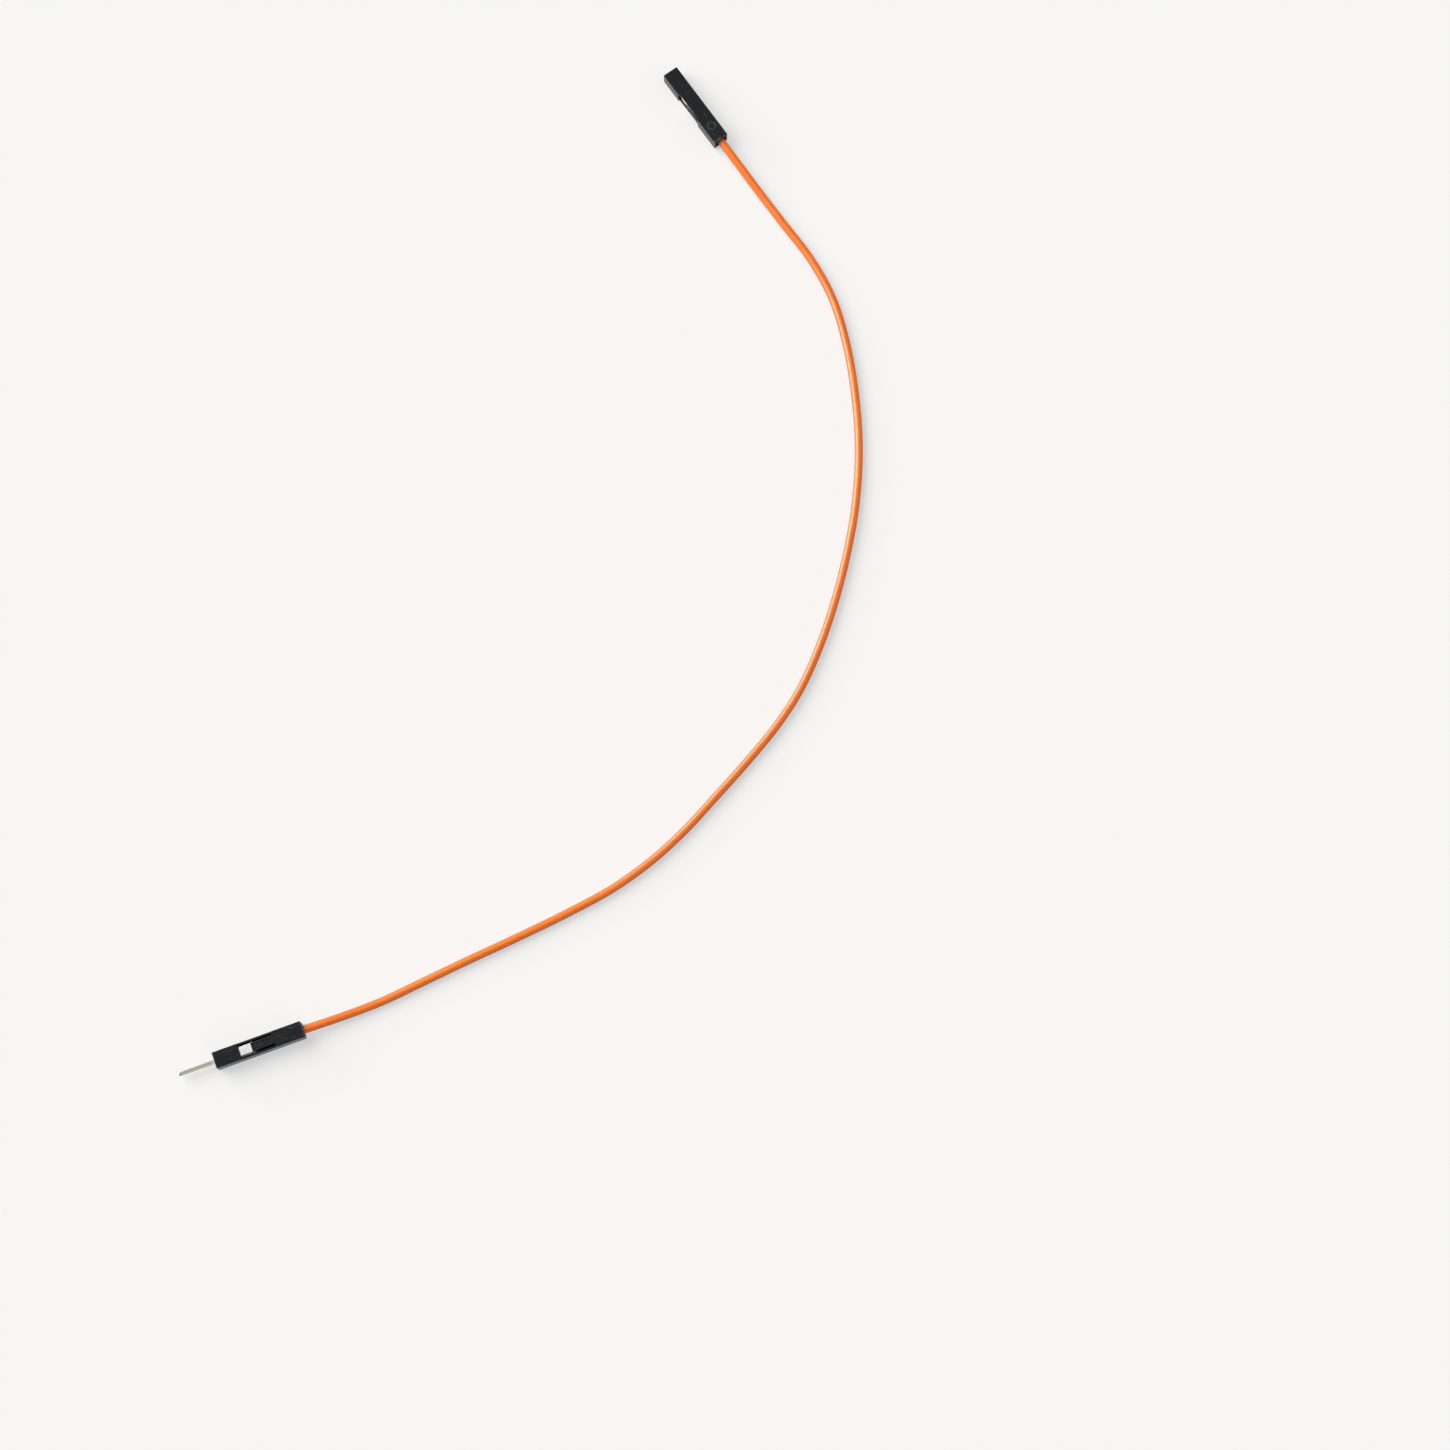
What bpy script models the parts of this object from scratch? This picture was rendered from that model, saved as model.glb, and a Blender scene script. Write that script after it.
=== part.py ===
"""Breadboard jumper wire with a pin on one end and a socket on the other.

Two square connector housings of one moulding each hold a contact stamped and folded from sheet, and a
seven-strand insulated wire joins them in an easy curve. Everything lies at rest on the plane Z = 0.
Sizes are in metres, +Z is up, and the origin is on that plane under the middle of the two connector ends.
"""
import math

import bmesh
import bpy
from mathutils import Matrix, Vector

# Wire
WIRE_DIAMETER = 0.00130
WIRE_SIDES = 8
STRAND_DIAMETER = 0.00016
RING_STRANDS = 6
STRAND_GAP = 0.00002
STRAND_LAY = 0.040
TUBE_SPACING = 0.0033
SETTLE_LENGTH = 0.013

# Housing moulding, measured from its wire end towards its front
PITCH = 0.00254
HOUSING_LENGTH = 0.0140
SKIRT_LENGTH = 0.0046
TONGUE_LENGTH = 0.00345
COLLAR_LENGTH = 0.0040
FRONT_WALL = 0.0007
FRONT_HOLE = 0.00094
LEAD_IN = 0.00020
RAIL_DROP = 0.00025
EDGE_RADIUS = 0.00007
SLOT_WIDTH = 0.00025
TONGUE_STEP = 0.00004
TONGUE_DIP = 0.00028
TONGUE_THICKNESS = 0.00040
TONGUE_LIP = 0.00006
MARK_DIAMETER = 0.00116
MARK_GROOVE = 0.00012
MARK_DEPTH = 0.00005
MARK_DISTANCE = 0.0026

# Contacts
SHEET = 0.00020
SEAM = 0.00003
GRIP_GAP = 0.00002
FIT_CLEARANCE = 0.00007
INSULATION_CRIMP_START = 0.0027
INSULATION_CRIMP_LENGTH = 0.00185
INSULATION_END = 0.00012
CRIMP_STEP_LENGTH = 0.00035
CRIMP_STEP_DISTANCE = 0.00025
STRAND_CRIMP_LENGTH = 0.0017
STRAND_TAIL = 0.00015
LATCH_GAP = 0.00008
BEND_RADIUS = 0.00020
PIN_WIDTH = 0.00064
PIN_LENGTH = 0.0060
PIN_TIP_LENGTH = 0.00065
PIN_TIP_WIDTH = 0.00034
PIN_EDGE = 0.00007
PIN_SEAM_DEPTH = 0.00006
FUNNEL_LENGTH = 0.0009
FUNNEL_SEAM = 0.00008
SPRING_WIDTH = 0.0006
SPRING_BEND = 0.00016
SPRING_LENGTH = 0.0034
SPRING_PRELOAD = 0.00009

# Where the wire enters each housing, and the way each housing points, in degrees
PIN_END_EXIT = (-0.02248, -0.07356)
PIN_END_HEADING = -160.0
PIN_END_ROLL = 0.0
SOCKET_END_EXIT = (0.04033, 0.06845)
SOCKET_END_HEADING = 125.5
SOCKET_END_ROLL = -90.0

# The wire's way across the surface, from the pin end to the socket end
ROUTE = [
    (-0.0169, -0.0716), (-0.0106, -0.0691), (-0.0044, -0.0661), (0.0024, -0.0628), (0.0090, -0.0597),
    (0.0169, -0.0558), (0.0238, -0.0520), (0.0296, -0.0478), (0.0346, -0.0432), (0.0395, -0.0378),
    (0.0445, -0.0321), (0.0490, -0.0265), (0.0525, -0.0210), (0.0555, -0.0143), (0.0579, -0.0072),
    (0.0598, 0.0002), (0.0613, 0.0085), (0.0619, 0.0175), (0.0614, 0.0263), (0.0601, 0.0347),
    (0.0579, 0.0424), (0.0545, 0.0489), (0.0500, 0.0551), (0.0452, 0.0617),
]

# Sizes that follow from the ones above
STRAND_RING = STRAND_DIAMETER + STRAND_GAP
BUNDLE_RADIUS = STRAND_RING + STRAND_DIAMETER / 2
WIRE_BORE_RADIUS = BUNDLE_RADIUS + STRAND_GAP
WIRE_FLAT_RADIUS = WIRE_DIAMETER / 2 * math.cos(math.pi / WIRE_SIDES)
WING_FOLDS = 8
CRIMP_SIDES = 2 * WING_FOLDS
CRIMP_FLAT = math.cos(math.pi / CRIMP_SIDES)
INSULATION_CRIMP_RADIUS = (WIRE_DIAMETER / 2 + GRIP_GAP) / CRIMP_FLAT + SHEET / 2
STRAND_CRIMP_RADIUS = (BUNDLE_RADIUS + GRIP_GAP) / CRIMP_FLAT + SHEET / 2
CONTACT_HALF = INSULATION_CRIMP_RADIUS + SHEET / 2
BORE = 2 * (CONTACT_HALF + FIT_CLEARANCE)
BOX_MID = CONTACT_HALF - SHEET / 2
TONGUE_TIP = SKIRT_LENGTH + TONGUE_LENGTH
COLLAR_START = HOUSING_LENGTH - COLLAR_LENGTH
BORE_END = HOUSING_LENGTH - FRONT_WALL
INSULATION_CRIMP_END = INSULATION_CRIMP_START + INSULATION_CRIMP_LENGTH
INSULATION_INSIDE = INSULATION_CRIMP_END + INSULATION_END
STEP_START = INSULATION_CRIMP_END + CRIMP_STEP_DISTANCE
STRAND_CRIMP_START = STEP_START + CRIMP_STEP_LENGTH
STRAND_CRIMP_END = STRAND_CRIMP_START + STRAND_CRIMP_LENGTH
STRAND_INSIDE = STRAND_CRIMP_END + STRAND_TAIL
BOX_START = TONGUE_TIP + LATCH_GAP
BOX_FRONT = BORE_END - FIT_CLEARANCE - SPRING_BEND - SHEET / 2
PIN_TIP = HOUSING_LENGTH + PIN_LENGTH

# Colours, roughness and metallic value of each material
FINISHES = {
    "housing_black": ((0.012, 0.012, 0.014, 1.0), 0.42, 0.0),
    "insulation_orange": ((0.83, 0.17, 0.01, 1.0), 0.30, 0.0),
    "contact_plating": ((0.78, 0.71, 0.55, 1.0), 0.24, 1.0),
    "strand_copper": ((0.80, 0.47, 0.30, 1.0), 0.30, 1.0),
}


def clear_scene():
    for obj in list(bpy.data.objects):
        bpy.data.objects.remove(obj, do_unlink=True)


def new_collection(name):
    collection = bpy.data.collections.new(name)
    bpy.context.scene.collection.children.link(collection)
    return collection


def new_material(name):
    colour, roughness, metallic = FINISHES[name]
    material = bpy.data.materials.new(name)
    material.use_nodes = True
    shader = material.node_tree.nodes["Principled BSDF"]
    shader.inputs["Base Color"].default_value = colour
    shader.inputs["Roughness"].default_value = roughness
    shader.inputs["Metallic"].default_value = metallic
    material.diffuse_color = colour
    return material


def add_object(name, data, collection, material=None, parent=None):
    obj = bpy.data.objects.new(name, data)
    collection.objects.link(obj)
    obj.parent = parent
    if material:
        data.materials.append(material)
    return obj


def mesh_from(name, bm):
    mesh = bpy.data.meshes.new(name)
    bm.to_mesh(mesh)
    bm.free()
    return mesh


def block(name, low, high):
    """A box primitive between two corners."""
    bm = bmesh.new()
    bmesh.ops.create_cube(bm, size=1.0)
    size = Vector(high) - Vector(low)
    middle = (Vector(high) + Vector(low)) / 2
    bmesh.ops.transform(bm, matrix=Matrix.Translation(middle) @ Matrix.Diagonal((*size, 1.0)), verts=bm.verts)
    return mesh_from(name, bm)


def square_taper(name, start, end, start_width, end_width):
    """A four-sided cone along X."""
    bm = bmesh.new()
    corner = math.sqrt(0.5)
    bmesh.ops.create_cone(
        bm, cap_ends=True, segments=4, radius1=start_width * corner, radius2=end_width * corner, depth=end - start
    )
    turn = Matrix.Rotation(math.radians(90), 4, "Y") @ Matrix.Rotation(math.radians(45), 4, "Z")
    bmesh.ops.transform(bm, matrix=Matrix.Translation(((start + end) / 2, 0, 0)) @ turn, verts=bm.verts)
    return mesh_from(name, bm)


def mesh_of_curve(curve_object, name, merge):
    """The evaluated mesh of a curve with its caps welded on. The curve itself is removed."""
    bpy.context.view_layer.update()
    evaluated = curve_object.evaluated_get(bpy.context.evaluated_depsgraph_get())
    mesh = bpy.data.meshes.new_from_object(evaluated)
    mesh.name = name
    mesh.transform(curve_object.matrix_world)
    bm = bmesh.new()
    bm.from_mesh(mesh)
    bmesh.ops.remove_doubles(bm, verts=bm.verts, dist=merge)
    bm.to_mesh(mesh)
    bm.free()
    bpy.data.objects.remove(curve_object, do_unlink=True)
    return mesh


def boolean(obj, operation, operand):
    modifier = obj.modifiers.new(operand.name, "BOOLEAN")
    modifier.operation = operation
    modifier.solver = "EXACT"
    modifier.object = operand


def hide_operand(obj):
    obj.hide_render = True
    obj.display_type = "WIRE"


class Connector:
    """One connector end: its empty, with X pointing from the wire end to the front along the housing's axis."""

    def __init__(self, name, exit_point, heading, roll, parts, cutters):
        self.name = name
        self.parts = parts
        self.cutters = cutters
        self.empty = add_object(f"{name}_end", None, parts)
        self.empty.location = (*exit_point, PITCH / 2)
        self.empty.rotation_euler = (math.radians(roll), 0, math.radians(heading))
        self.empty.empty_display_size = PITCH

    def part(self, name, mesh, material):
        return add_object(f"{self.name}_{name}", mesh, self.parts, material, self.empty)

    def operand(self, name, mesh):
        obj = add_object(f"{self.name}_{name}", mesh, self.cutters, None, self.empty)
        hide_operand(obj)
        return obj


def tongue_mesh(connector):
    """The latch tongue's side profile, extruded across the slot: thin at its root, with a lip at its tip."""
    root_top = PITCH / 2 - TONGUE_STEP
    root_bottom = BORE / 2 + TONGUE_STEP
    tip_top = root_top - TONGUE_DIP
    tip_bottom = tip_top - TONGUE_THICKNESS
    lip_start = TONGUE_TIP - TONGUE_THICKNESS
    root = SKIRT_LENGTH - SLOT_WIDTH
    profile = [
        (root, root_bottom),
        (SKIRT_LENGTH, root_bottom),
        (SKIRT_LENGTH + TONGUE_LENGTH * 0.22, root_bottom - TONGUE_DIP * 0.7),
        (TONGUE_TIP - TONGUE_LIP, tip_bottom),
        (TONGUE_TIP, tip_bottom + TONGUE_LIP),
        (TONGUE_TIP, tip_top),
        (TONGUE_TIP - TONGUE_LIP, tip_top + TONGUE_LIP),
        (lip_start + TONGUE_LIP, tip_top + TONGUE_LIP),
        (lip_start, tip_top),
        (SKIRT_LENGTH, root_top),
        (root, root_top),
    ]
    curve = bpy.data.curves.new("tongue_profile", "CURVE")
    curve.dimensions = "2D"
    curve.fill_mode = "BOTH"
    curve.extrude = BORE / 2 - SLOT_WIDTH
    spline = curve.splines.new("POLY")
    spline.points.add(len(profile) - 1)
    for point, (along, height) in zip(spline.points, profile):
        point.co = (along, height, 0, 1)
    spline.use_cyclic_u = True
    guide = add_object("tongue_profile", curve, connector.cutters)
    guide.rotation_euler = (math.radians(90), 0, 0)
    return mesh_of_curve(guide, "tongue", SEAM / 10)


def ring_mesh():
    """The cutter for the round mark that the moulding tool leaves on one plain side."""
    bm = bmesh.new()
    middle = MARK_DIAMETER / 2 - MARK_GROOVE / 2
    bmesh.ops.create_circle(bm, cap_ends=False, segments=20, radius=middle)
    ring = list(bm.edges)
    extruded = bmesh.ops.extrude_edge_only(bm, edges=ring)
    risen = [item for item in extruded["geom"] if isinstance(item, bmesh.types.BMVert)]
    bmesh.ops.translate(bm, vec=(0, 0, 2 * MARK_DEPTH), verts=risen)
    bmesh.ops.recalc_face_normals(bm, faces=bm.faces)
    place = Matrix.Translation((MARK_DISTANCE, -PITCH / 2 - MARK_DEPTH, 0)) @ Matrix.Rotation(
        math.radians(-90), 4, "X"
    )
    bmesh.ops.transform(bm, matrix=place, verts=bm.verts)
    return mesh_from("ring_mark", bm)


def build_housing(connector, material):
    """A moulded body cut by its bore, latch opening, lowered rails and front hole, with the latch tongue joined."""
    half = PITCH / 2
    bore_half = BORE / 2
    over = PITCH
    housing = connector.part("housing", block("housing", (0, -half, -half), (HOUSING_LENGTH, half, half)), material)
    rounding = housing.modifiers.new("rounded_edges", "BEVEL")
    rounding.width = EDGE_RADIUS
    rounding.segments = 2
    bore = connector.operand("bore", block("bore", (-over, -bore_half, -bore_half), (BORE_END, bore_half, bore_half)))
    rails = connector.operand(
        "rails", block("rails", (SKIRT_LENGTH, -over, half - RAIL_DROP), (COLLAR_START, over, over))
    )
    opening = connector.operand(
        "latch_opening", block("latch_opening", (SKIRT_LENGTH, -bore_half, 0), (COLLAR_START, bore_half, over))
    )
    hole_half = FRONT_HOLE / 2
    hole = connector.operand(
        "front_hole",
        block("front_hole", (BORE_END - over, -hole_half, -hole_half), (HOUSING_LENGTH + over, hole_half, hole_half)),
    )
    lead_in = connector.operand(
        "lead_in",
        square_taper(
            "lead_in", HOUSING_LENGTH - LEAD_IN, HOUSING_LENGTH + LEAD_IN, FRONT_HOLE, FRONT_HOLE + 4 * LEAD_IN
        ),
    )
    mark = connector.operand("ring_mark", ring_mesh())
    groove = mark.modifiers.new("groove", "SOLIDIFY")
    groove.thickness = MARK_GROOVE
    groove.offset = 0.0
    for cutter in (bore, rails, opening, hole, lead_in, mark):
        boolean(housing, "DIFFERENCE", cutter)
    boolean(housing, "UNION", connector.operand("tongue", tongue_mesh(connector)))
    housing.data.shade_smooth()
    housing.data.set_sharp_from_angle(angle=math.radians(35))
    return housing


def ring_fold(radius):
    """Folds of a crimp: a floor with two wings wrapped round until their ends all but meet."""
    sweep = math.pi - math.asin(SEAM / radius)
    folds = {}
    for k in range(-WING_FOLDS, WING_FOLDS + 1):
        angle = sweep * k / WING_FOLDS
        folds[k] = (radius * math.sin(angle), -radius * math.cos(angle))
    return folds


def box_fold(mid, bend, gap=SEAM):
    """Folds of the square box: floor, two walls and a roof that closes over the right wall."""
    flat = mid - bend
    corner = mid - bend * (1 - math.sqrt(0.5))
    return {
        0: (0, -mid),
        1: (flat, -mid),
        2: (corner, -corner),
        3: (mid, -flat),
        4: (mid, 0),
        5: (mid, mid - SHEET / 2 - gap),
        -1: (-flat, -mid),
        -2: (-corner, -corner),
        -3: (-mid, -flat),
        -4: (-mid, 0),
        -5: (-mid, flat),
        -6: (-corner, corner),
        -7: (-flat, mid),
        -8: (-min(SPRING_WIDTH / 2, flat / 2), mid),
        -9: (min(SPRING_WIDTH / 2, flat / 2), mid),
        -10: (mid + SHEET / 2, mid),
    }


def blend_fold(first, second, share):
    """Folds part of the way from one section to another, where both have them."""
    return {
        k: tuple(a * (1 - share) + b * share for a, b in zip(first[k], second[k]))
        for k in first
        if k in second
    }


def shared_stations():
    """The blank's stations from the insulation crimp to the box: (X, folds, columns of the strip after it)."""
    insulation = ring_fold(INSULATION_CRIMP_RADIUS)
    strands = ring_fold(STRAND_CRIMP_RADIUS)
    box = box_fold(BOX_MID, BEND_RADIUS)
    neck = BOX_START - STRAND_CRIMP_END
    wings = (-WING_FOLDS, WING_FOLDS)
    floor = (-2, 2)
    trough = (-4, 4)
    return [
        (INSULATION_CRIMP_START, insulation, wings),
        (INSULATION_CRIMP_END, insulation, floor),
        (STEP_START, insulation, floor),
        (STRAND_CRIMP_START, strands, wings),
        (STRAND_CRIMP_END, strands, trough),
        (STRAND_CRIMP_END + 0.35 * neck, blend_fold(strands, box, 0.3), trough),
        (STRAND_CRIMP_END + 0.75 * neck, blend_fold(strands, box, 0.9), trough),
        (BOX_START, box, (-10, 5)),
    ]


def pin_stations():
    """The box's front draws in to the pin, with the seam open a little wider on the slope."""
    box = box_fold(BOX_MID, BEND_RADIUS)
    slim = PIN_WIDTH / 2 - SHEET * 0.6
    middle = (BOX_MID + slim) / 2
    return [
        (BOX_FRONT - FUNNEL_LENGTH, box, (-10, 5)),
        (BOX_FRONT - FUNNEL_LENGTH * 0.45, box_fold(middle, BEND_RADIUS * 0.8, FUNNEL_SEAM), (-10, 5)),
        (BOX_FRONT, box_fold(slim, SHEET * 0.6, FUNNEL_SEAM), None),
    ]


def spring_stations():
    """The box ends square, and a leaf on its roof is folded back inside to press on the pin."""
    box = box_fold(BOX_MID, BEND_RADIUS)
    leaf = (-9, -8)
    stations = [(BOX_FRONT, box, leaf)]
    for step in range(1, 5):
        angle = math.pi * step / 4
        drop = SPRING_BEND * (1 - math.cos(angle))
        stations.append((BOX_FRONT + SPRING_BEND * math.sin(angle), lowered(box, drop), leaf))
    contact_height = PIN_WIDTH / 2 + SHEET / 2 - SPRING_PRELOAD
    contact_drop = BOX_MID - contact_height
    lift = SPRING_PRELOAD
    for share, drop in ((0.42, contact_drop - lift * 0.25), (0.58, contact_drop), (0.76, contact_drop - lift)):
        stations.append((BOX_FRONT - SPRING_LENGTH * share, lowered(box, drop), leaf))
    stations.append((BOX_FRONT - SPRING_LENGTH, lowered(box, contact_drop - 2 * lift), None))
    return stations


def lowered(folds, drop):
    return {k: (across, height - drop) for k, (across, height) in folds.items()}


def folded_sheet(name, stations):
    """The middle surface of a stamped blank: a face for each column that the metal has between two stations."""
    bm = bmesh.new()
    made = {}

    def vertex(row, column):
        if (row, column) not in made:
            along, folds, _ = stations[row]
            made[row, column] = bm.verts.new((along, *folds[column]))
        return made[row, column]

    for row, (_, _, columns) in enumerate(stations[:-1]):
        first, last = columns
        for column in range(first, last):
            bm.faces.new(
                (vertex(row, column), vertex(row, column + 1), vertex(row + 1, column + 1), vertex(row + 1, column))
            )
    bmesh.ops.recalc_face_normals(bm, faces=bm.faces)
    return mesh_from(name, bm)


def build_contact(connector, name, stations, material):
    contact = connector.part(name, folded_sheet(name, stations), material)
    sheet = contact.modifiers.new("sheet", "SOLIDIFY")
    sheet.thickness = SHEET
    sheet.offset = 0.0
    sheet.use_even_offset = True
    contact.data.shade_smooth()
    contact.data.set_sharp_from_angle(angle=math.radians(50))
    return contact


def draw_out(bm, face, distance, scale):
    """Extrude a face along X, with its outline scaled about the axis."""
    end = bmesh.ops.extrude_discrete_faces(bm, faces=[face])["faces"][0]
    for vert in end.verts:
        vert.co = (vert.co.x + distance, vert.co.y * scale, vert.co.z * scale)
    return end


def pin_mesh():
    """The pin: a square rod with eased edges and a tip that tapers twice."""
    rear = BOX_FRONT - FUNNEL_LENGTH * 0.28
    front = PIN_TIP - PIN_TIP_LENGTH
    bm = bmesh.new()
    bmesh.ops.create_cube(bm, size=1.0)
    place = Matrix.Translation(((front + rear) / 2, 0, 0)) @ Matrix.Diagonal((front - rear, PIN_WIDTH, PIN_WIDTH, 1.0))
    bmesh.ops.transform(bm, matrix=place, verts=bm.verts)
    long_edges = [edge for edge in bm.edges if edge.calc_length() > 2 * PIN_WIDTH]
    bmesh.ops.bevel(bm, geom=long_edges, offset=PIN_EDGE, segments=2, profile=0.5, affect="EDGES")
    end = max(bm.faces, key=lambda face: face.calc_center_median().x)
    tip_scale = PIN_TIP_WIDTH / PIN_WIDTH
    shoulder_scale = (2 + tip_scale) / 3
    end = draw_out(bm, end, PIN_TIP_LENGTH * 0.6, shoulder_scale)
    draw_out(bm, end, PIN_TIP_LENGTH * 0.4, tip_scale / shoulder_scale)
    return mesh_from("pin", bm)


def seam_groove():
    """A cutter for the hairline where the pin's folded edges meet."""
    half = PIN_SEAM_DEPTH * math.sqrt(0.5)
    return block("seam", (BORE_END, -half, -half), (PIN_TIP - PIN_TIP_LENGTH, half, half))


def build_pin_contact(connector, material):
    contact = build_contact(connector, "contact", shared_stations() + pin_stations(), material)
    boolean(contact, "UNION", connector.operand("pin", pin_mesh()))
    groove = connector.operand("seam", seam_groove())
    groove.location = (0, 0, PIN_WIDTH / 2)
    groove.rotation_euler = (math.radians(45), 0, 0)
    boolean(contact, "DIFFERENCE", groove)
    return contact


def catmull_rom(points, steps):
    """Points of a smooth curve through the given ones, with spans weighted by the root of their length."""
    ends = [2 * points[0] - points[1]] + points + [2 * points[-1] - points[-2]]
    smooth = []
    for before, first, second, after in zip(ends, ends[1:], ends[2:], ends[3:]):
        t0 = 0.0
        t1 = t0 + math.sqrt((first - before).length)
        t2 = t1 + math.sqrt((second - first).length)
        t3 = t2 + math.sqrt((after - second).length)
        for step in range(steps):
            t = t1 + (t2 - t1) * step / steps
            a = before.lerp(first, (t - t0) / (t1 - t0))
            b = first.lerp(second, (t - t1) / (t2 - t1))
            c = second.lerp(after, (t - t2) / (t3 - t2))
            d = a.lerp(b, (t - t0) / (t2 - t0))
            e = b.lerp(c, (t - t1) / (t3 - t1))
            smooth.append(d.lerp(e, (t - t1) / (t2 - t1)))
    smooth.append(points[-1])
    return smooth


def run_lengths(points):
    """The length along the points up to each one."""
    lengths = [0.0]
    for first, second in zip(points, points[1:]):
        lengths.append(lengths[-1] + (second - first).length)
    return lengths


def spaced(points, spacing):
    """The same line with its points a near-equal distance apart."""
    lengths = run_lengths(points)
    count = round(lengths[-1] / spacing)
    result = []
    span = 0
    for index in range(count + 1):
        target = lengths[-1] * index / count
        while span < len(points) - 2 and lengths[span + 1] < target:
            span += 1
        share = (target - lengths[span]) / (lengths[span + 1] - lengths[span])
        result.append(points[span].lerp(points[span + 1], share))
    return result


def settled(points):
    """The line lowered from the housings' axis onto the surface, within a short way of each end."""
    lengths = run_lengths(points)
    rest = WIRE_DIAMETER / 2
    result = []
    for point, length in zip(points, lengths):
        share = min(min(length, lengths[-1] - length) / SETTLE_LENGTH, 1.0)
        height = PITCH / 2 + (rest - PITCH / 2) * share * share * (3 - 2 * share)
        result.append(Vector((point.x, point.y, height)))
    return result


def inside_point(exit_point, heading, distance):
    """A point on a housing's axis, a distance in from its wire end."""
    angle = math.radians(heading)
    return Vector(
        (exit_point[0] + distance * math.cos(angle), exit_point[1] + distance * math.sin(angle), PITCH / 2)
    )


def wire_line(inside):
    """The wire's centreline, reaching a distance into each housing."""
    free = [Vector((*PIN_END_EXIT, 0)), *(Vector((x, y, 0)) for x, y in ROUTE), Vector((*SOCKET_END_EXIT, 0))]
    line = settled(spaced(catmull_rom(free, 12), TUBE_SPACING))
    return [
        inside_point(PIN_END_EXIT, PIN_END_HEADING, inside),
        *line,
        inside_point(SOCKET_END_EXIT, SOCKET_END_HEADING, inside),
    ]


def curve_object(name, points, radius, resolution, caps, collection, material=None):
    curve = bpy.data.curves.new(name, "CURVE")
    curve.dimensions = "3D"
    curve.bevel_depth = radius
    curve.bevel_resolution = resolution
    curve.use_fill_caps = caps
    spline = curve.splines.new("POLY")
    spline.points.add(len(points) - 1)
    for target, point in zip(spline.points, points):
        target.co = (*point, 1)
    return add_object(name, curve, collection, material)


def build_insulation(parts, cutters, material):
    """The insulation: a tube along the wire's line, with a wall that leaves room for the strands."""
    resolution = WIRE_SIDES // 2 - 2
    tube = curve_object("tube", wire_line(INSULATION_INSIDE), WIRE_DIAMETER / 2, resolution, False, cutters)
    mesh = mesh_of_curve(tube, "wire_insulation", SEAM / 10)
    insulation = add_object("wire_insulation", mesh, parts, material)
    wall = insulation.modifiers.new("wall", "SOLIDIFY")
    wall.thickness = WIRE_FLAT_RADIUS - WIRE_BORE_RADIUS
    wall.offset = -1.0
    wall.use_even_offset = True
    mesh.shade_smooth()
    mesh.set_sharp_from_angle(angle=math.radians(60))
    return insulation


def build_strands(parts, material):
    """Six strands laid in a long twist round a middle one."""
    line = wire_line(STRAND_INSIDE)
    lengths = run_lengths(line)
    ways = [b - a for a, b in zip(line, line[1:])]
    tangents = [ways[0], *(a.normalized() + b.normalized() for a, b in zip(ways, ways[1:])), ways[-1]]
    sides = [tangent.cross(Vector((0, 0, 1))).normalized() for tangent in tangents]
    ups = [side.cross(tangent).normalized() for side, tangent in zip(sides, tangents)]
    for number in range(RING_STRANDS + 1):
        points = []
        for point, length, side, up in zip(line, lengths, sides, ups):
            angle = 2 * math.pi * (number / RING_STRANDS + length / STRAND_LAY)
            offset = side * math.cos(angle) + up * math.sin(angle)
            points.append(point + offset * (STRAND_RING if number < RING_STRANDS else 0.0))
        curve_object(f"conductor_strand_{number + 1}", points, STRAND_DIAMETER / 2, 1, True, parts, material)


def main():
    clear_scene()
    parts = new_collection("jumper_wire")
    cutters = new_collection("cutters")
    materials = {name: new_material(name) for name in FINISHES}
    pin_end = Connector("male", PIN_END_EXIT, PIN_END_HEADING, PIN_END_ROLL, parts, cutters)
    socket_end = Connector("female", SOCKET_END_EXIT, SOCKET_END_HEADING, SOCKET_END_ROLL, parts, cutters)
    for end in (pin_end, socket_end):
        build_housing(end, materials["housing_black"])
    build_pin_contact(pin_end, materials["contact_plating"])
    build_contact(socket_end, "contact", shared_stations() + spring_stations(), materials["contact_plating"])
    build_insulation(parts, cutters, materials["insulation_orange"])
    build_strands(parts, materials["strand_copper"])


main()
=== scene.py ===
"""The looks of a breadboard jumper wire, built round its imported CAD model.

The moulded and stamped pieces are modelled in millimetres, along X from the wire end of their
housing. Each finished piece is then scaled to metres and laid at its end of the wire.
"""
import math

import bmesh
import bpy
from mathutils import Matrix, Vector


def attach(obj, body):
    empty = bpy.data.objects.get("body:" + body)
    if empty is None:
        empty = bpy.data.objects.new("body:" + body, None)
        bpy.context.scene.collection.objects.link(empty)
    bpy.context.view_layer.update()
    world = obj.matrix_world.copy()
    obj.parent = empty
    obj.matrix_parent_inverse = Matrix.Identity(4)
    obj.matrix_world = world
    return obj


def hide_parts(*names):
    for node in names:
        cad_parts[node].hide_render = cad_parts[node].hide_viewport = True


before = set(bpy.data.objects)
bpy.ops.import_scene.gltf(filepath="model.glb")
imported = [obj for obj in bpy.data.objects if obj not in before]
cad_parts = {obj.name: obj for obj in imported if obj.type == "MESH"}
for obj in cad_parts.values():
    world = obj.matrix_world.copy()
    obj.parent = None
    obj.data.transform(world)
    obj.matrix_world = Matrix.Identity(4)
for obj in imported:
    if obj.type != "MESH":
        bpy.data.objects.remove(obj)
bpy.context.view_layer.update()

MM = 0.001

# The photograph's view: distance and target in metres, elevation in degrees, lens in millimetres
CAMERA_DISTANCE = 0.515
CAMERA_ELEVATION = 78.0
CAMERA_TARGET = Vector((0.04097, -0.02639, 0.0))
CAMERA_LENS = 83.1

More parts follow.
